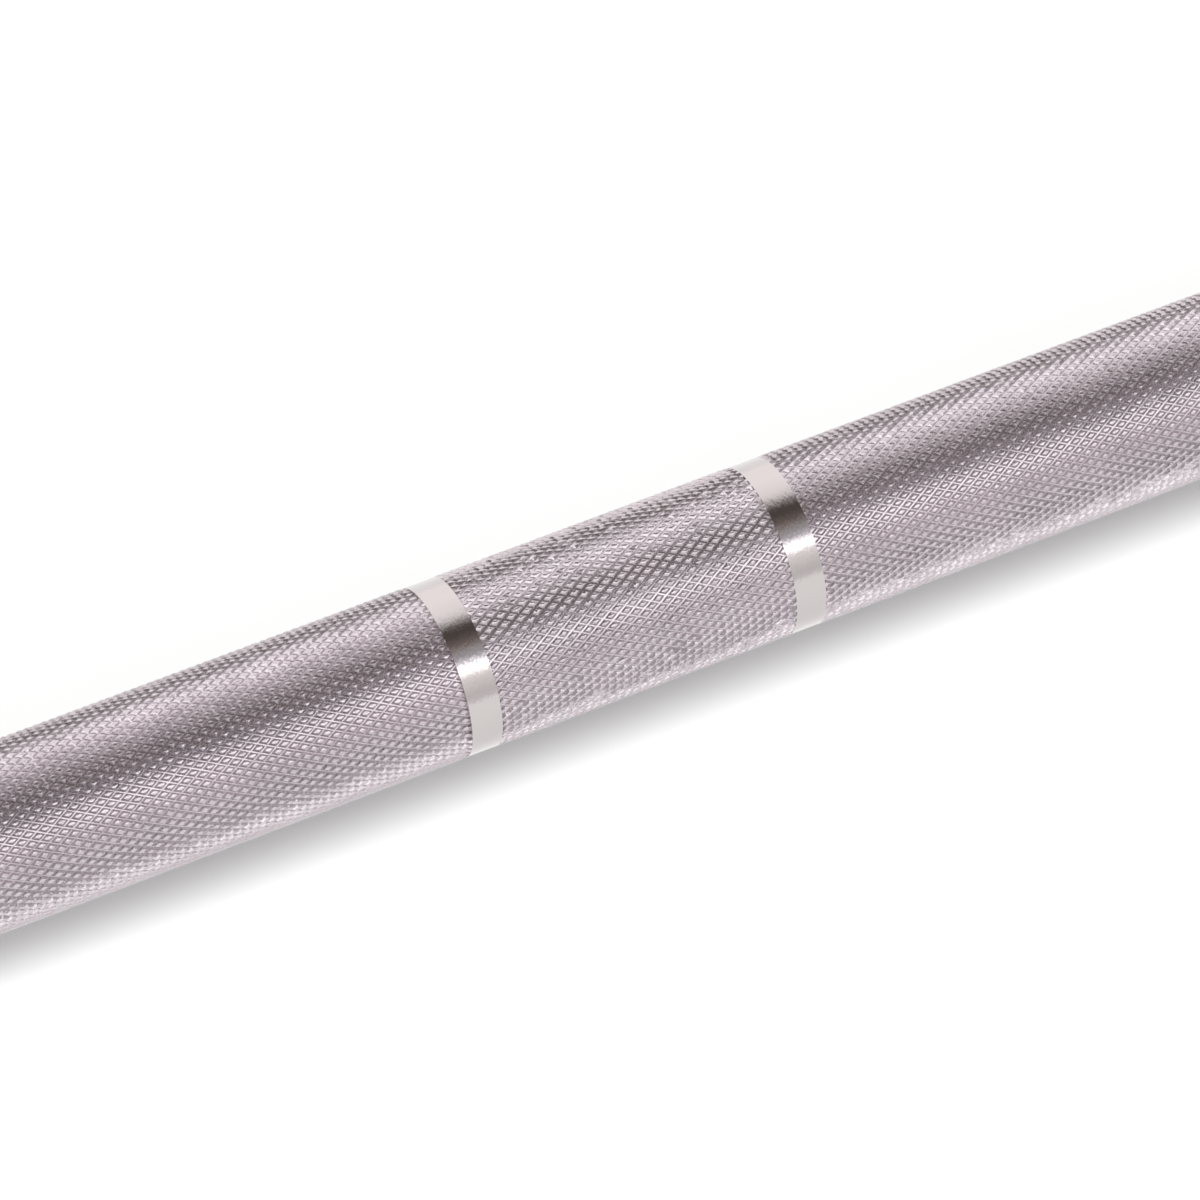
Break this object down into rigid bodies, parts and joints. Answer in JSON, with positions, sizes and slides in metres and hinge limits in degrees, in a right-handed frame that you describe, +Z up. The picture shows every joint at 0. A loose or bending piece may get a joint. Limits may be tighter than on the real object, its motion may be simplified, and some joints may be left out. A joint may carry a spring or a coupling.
{
  "type": "olympic barbell",
  "caption": "Straight weightlifting bar: diamond-knurled shaft with smooth grip rings and rotating sleeves on needle bearings and bushings behind inner collars.",
  "frame": {"origin": "middle of the bar, on the shaft's axis", "axes": "+X along the bar towards the right sleeve, +Z up, +Y away from the lifter"},
  "size_m": [2.01, 0.078, 0.078],
  "materials": {
    "knurled_shaft": "hard-chromed steel, diamond knurl with two turned rings a side",
    "sleeve_chrome": "hard chrome over a fine turned finish",
    "collar_chrome": "hard chrome over a fine turned finish",
    "cap_steel": "faced steel with concentric turning marks",
    "bronze": "oiled sintered bronze",
    "bearing_steel": "ground bearing steel",
    "cage_steel": "phosphated sheet steel",
    "spring_steel": "black phosphated spring steel",
    "rubber": "matt black nitrile rubber"
  },
  "bodies": {
    "bar": {"shaft": "knurled_shaft", "left_shoulder_washer": "bearing_steel", "left_thrust_washer": "bearing_steel", "left_shaft_circlip": "spring_steel", "right_shoulder_washer": "bearing_steel", "right_thrust_washer": "bearing_steel", "right_shaft_circlip": "spring_steel"},
    "left_sleeve": {"left_sleeve": "sleeve_chrome", "left_collar": "collar_chrome", "left_dust_seal": "rubber", "left_inner_bushing": "bronze", "left_outer_bushing": "bronze", "left_inner_bearing_cup": "bearing_steel", "left_outer_bearing_cup": "bearing_steel", "left_end_cap": "cap_steel", "left_cap_seal": "rubber", "left_cap_circlip": "spring_steel"},
    "left_rollers": {"left_inner_bearing_cage": "cage_steel", "left_outer_bearing_cage": "cage_steel", "left_inner_bearing_needles": "bearing_steel", "left_outer_bearing_needles": "bearing_steel"},
    "right_sleeve": {"right_sleeve": "sleeve_chrome", "right_collar": "collar_chrome", "right_dust_seal": "rubber", "right_inner_bushing": "bronze", "right_outer_bushing": "bronze", "right_inner_bearing_cup": "bearing_steel", "right_outer_bearing_cup": "bearing_steel", "right_end_cap": "cap_steel", "right_cap_seal": "rubber", "right_cap_circlip": "spring_steel"},
    "right_rollers": {"right_inner_bearing_cage": "cage_steel", "right_outer_bearing_cage": "cage_steel", "right_inner_bearing_needles": "bearing_steel", "right_outer_bearing_needles": "bearing_steel"}
  },
  "joints": [
    {"name": "left_sleeve_spin", "type": "hinge", "parent": "bar", "child": "left_sleeve", "pos_m": [-0.84, 0, 0], "axis": [1, 0, 0], "continuous": true},
    {"name": "left_roller_orbit", "type": "hinge", "parent": "bar", "child": "left_rollers", "pos_m": [-0.84, 0, 0], "axis": [1, 0, 0], "continuous": true},
    {"name": "right_sleeve_spin", "type": "hinge", "parent": "bar", "child": "right_sleeve", "pos_m": [0.84, 0, 0], "axis": [1, 0, 0], "continuous": true},
    {"name": "right_roller_orbit", "type": "hinge", "parent": "bar", "child": "right_rollers", "pos_m": [0.84, 0, 0], "axis": [1, 0, 0], "continuous": true}
  ],
  "couplings": [
    {"joint": "left_roller_orbit", "follows": "left_sleeve_spin", "ratio": 0.54167},
    {"joint": "right_roller_orbit", "follows": "right_sleeve_spin", "ratio": 0.54167}
  ]
}
